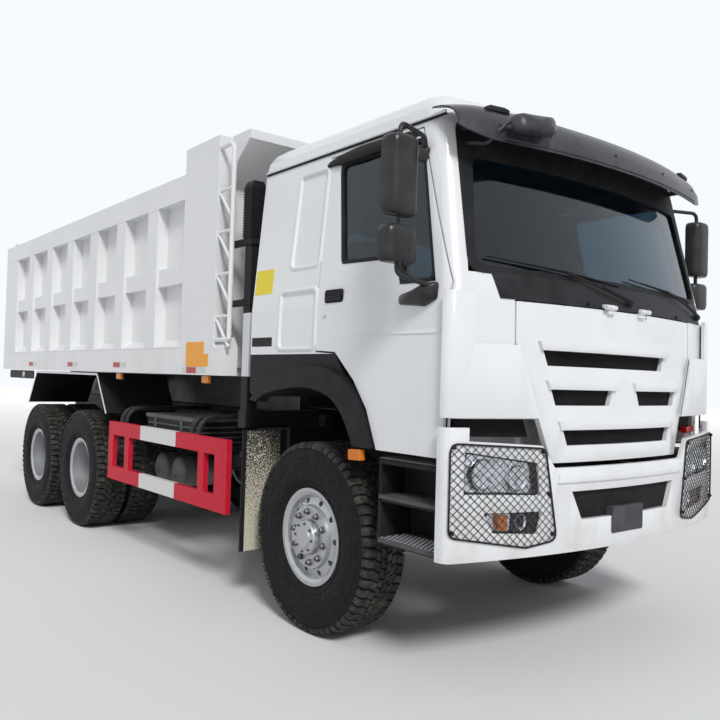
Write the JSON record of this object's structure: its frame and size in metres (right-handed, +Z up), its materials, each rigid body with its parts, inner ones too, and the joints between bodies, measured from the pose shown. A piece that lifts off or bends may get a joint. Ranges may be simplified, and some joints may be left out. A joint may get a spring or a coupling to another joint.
{
  "type": "dump truck",
  "caption": "Three-axle cab-over dump truck with a ribbed tipping body, tilting cab, opening doors and twin rear wheels.",
  "frame": {"origin": "on the ground, middle of the overall length and width", "axes": "+Z up, the front faces -Y, +X is the truck's left side"},
  "size_m": [3.014, 8.0918, 3.21],
  "materials": {
    "white_paint": "gloss white paint",
    "chassis_black": "satin black chassis paint",
    "black_plastic": "grained black plastic",
    "dark_grey": "smooth dark grey plastic",
    "glass": "dark tinted glass",
    "tyre": "black rubber",
    "rim_silver": "silver wheel paint",
    "red_paint": "red and white guard paint",
    "lamp": "clear lens over bright reflector",
    "tank_grey": "grey tank paint",
    "cast_iron": "raw casting",
    "steel": "ground steel",
    "seat_fabric": "woven seat cloth"
  },
  "bodies": {
    "chassis": {"frame": "chassis_black", "tow_hitch": "chassis_black", "front_bumper": "white_paint", "headlamps": "lamp", "lamp_guards": "black_plastic", "steps": "black_plastic", "front_axle": "chassis_black", "leaf_springs": "chassis_black", "drive_axles": "chassis_black", "engine_block": "cast_iron", "fuel_tank": "tank_grey", "battery_box": "black_plastic", "air_tanks": "tank_grey", "side_guards": "red_paint", "mudguards": "chassis_black", "air_intake": "black_plastic", "silencer": "tank_grey", "hydraulic_tank": "chassis_black", "rear_underrun": "chassis_black"},
    "cab": {"cab_shell": "white_paint", "cab_glass": "glass", "corner_panels": "white_paint", "wheel_arches": "black_plastic", "sun_visor": "dark_grey", "seats": "seat_fabric", "dashboard": "black_plastic"},
    "flap": {"front_flap": "white_paint"},
    "bed": {"bed_floor": "white_paint", "bed_sides": "white_paint", "bed_front": "white_paint", "ladder": "white_paint"},
    "gate": {"tailgate": "white_paint"},
    "hoist_base": {"hoist_barrel": "chassis_black"},
    "hoist_first": {"hoist_stage_1": "steel"},
    "hoist_second": {"hoist_stage_2": "steel"},
    "hoist_third": {"hoist_stage_3": "steel"},
    "hoist_last": {"hoist_rod": "steel"},
    "side_door_left": {"door_left": "white_paint", "door_glass_left": "glass", "mirror_left": "black_plastic"},
    "steer_left": {"knuckle_left": "chassis_black"},
    "wheel_front_left": {"tyre_front_left": "tyre", "rim_front_left": "rim_silver"},
    "wheel_mid_left": {"tyres_mid_left": "tyre", "rims_mid_left": "rim_silver"},
    "wheel_rear_left": {"tyres_rear_left": "tyre", "rims_rear_left": "rim_silver"},
    "side_door_right": {"door_right": "white_paint", "door_glass_right": "glass", "mirror_right": "black_plastic"},
    "steer_right": {"knuckle_right": "chassis_black"},
    "wheel_front_right": {"tyre_front_right": "tyre", "rim_front_right": "rim_silver"},
    "wheel_mid_right": {"tyres_mid_right": "tyre", "rims_mid_right": "rim_silver"},
    "wheel_rear_right": {"tyres_rear_right": "tyre", "rims_rear_right": "rim_silver"}
  },
  "joints": [
    {"name": "cab_tilt", "type": "hinge", "parent": "chassis", "child": "cab", "pos_m": [0, -3.89, 1.25], "axis": [1, 0, 0], "range_deg": [0, 50]},
    {"name": "flap_lift", "type": "hinge", "parent": "cab", "child": "flap", "pos_m": [0, -4.005, 1.93], "axis": [-1, 0, 0], "range_deg": [0, 60]},
    {"name": "door_swing_left", "type": "hinge", "parent": "cab", "child": "side_door_left", "pos_m": [1.19, -3.775, 1.5], "axis": [0, 0, -1], "range_deg": [0, 70]},
    {"name": "door_swing_right", "type": "hinge", "parent": "cab", "child": "side_door_right", "pos_m": [-1.19, -3.775, 1.5], "axis": [0, 0, 1], "range_deg": [0, 70]},
    {"name": "steering_left", "type": "hinge", "parent": "chassis", "child": "steer_left", "pos_m": [0.945, -2.65, 0.561], "axis": [0, 0, 1], "range_deg": [-33, 33]},
    {"name": "steering_right", "type": "hinge", "parent": "chassis", "child": "steer_right", "pos_m": [-0.945, -2.65, 0.561], "axis": [0, 0, 1], "range_deg": [-33, 33]},
    {"name": "roll_front_left", "type": "hinge", "parent": "steer_left", "child": "wheel_front_left", "pos_m": [1.03, -2.65, 0.561], "axis": [1, 0, 0], "continuous": true},
    {"name": "roll_mid_left", "type": "hinge", "parent": "chassis", "child": "wheel_mid_left", "pos_m": [0.915, 1.175, 0.561], "axis": [1, 0, 0], "continuous": true},
    {"name": "roll_rear_left", "type": "hinge", "parent": "chassis", "child": "wheel_rear_left", "pos_m": [0.915, 2.525, 0.561], "axis": [1, 0, 0], "continuous": true},
    {"name": "roll_front_right", "type": "hinge", "parent": "steer_right", "child": "wheel_front_right", "pos_m": [-1.03, -2.65, 0.561], "axis": [1, 0, 0], "continuous": true},
    {"name": "roll_mid_right", "type": "hinge", "parent": "chassis", "child": "wheel_mid_right", "pos_m": [-0.915, 1.175, 0.561], "axis": [1, 0, 0], "continuous": true},
    {"name": "roll_rear_right", "type": "hinge", "parent": "chassis", "child": "wheel_rear_right", "pos_m": [-0.915, 2.525, 0.561], "axis": [1, 0, 0], "continuous": true},
    {"name": "bed_tip", "type": "hinge", "parent": "chassis", "child": "bed", "pos_m": [0, 3.68, 1.17], "axis": [-1, 0, 0], "range_deg": [0, 45]},
    {"name": "gate_swing", "type": "hinge", "parent": "bed", "child": "gate", "pos_m": [0, 3.95, 3.04], "axis": [1, 0, 0], "range_deg": [0, 60]},
    {"name": "hoist_lean", "type": "hinge", "parent": "chassis", "child": "hoist_base", "pos_m": [0, -1.79, 0.8], "axis": [-1, 0, 0], "range_deg": [0, 24.89]},
    {"name": "hoist_slide_1", "type": "slide", "parent": "hoist_base", "child": "hoist_first", "axis": [0, 0, 1], "range_m": [0, 1.0277]},
    {"name": "hoist_slide_2", "type": "slide", "parent": "hoist_first", "child": "hoist_second", "axis": [0, 0, 1], "range_m": [0, 1.0277]},
    {"name": "hoist_slide_3", "type": "slide", "parent": "hoist_second", "child": "hoist_third", "axis": [0, 0, 1], "range_m": [0, 1.0277]},
    {"name": "hoist_slide_4", "type": "slide", "parent": "hoist_third", "child": "hoist_last", "axis": [0, 0, 1], "range_m": [0, 1.0277]}
  ],
  "couplings": [
    {"joint": "steering_right", "follows": "steering_left", "ratio": 1},
    {"joint": "hoist_lean", "follows": "bed_tip", "ratio": 0.5465},
    {"joint": "hoist_slide_1", "follows": "bed_tip", "m_per_rad": 1.3035},
    {"joint": "hoist_slide_2", "follows": "bed_tip", "m_per_rad": 1.3035},
    {"joint": "hoist_slide_3", "follows": "bed_tip", "m_per_rad": 1.3035},
    {"joint": "hoist_slide_4", "follows": "bed_tip", "m_per_rad": 1.3035}
  ]
}
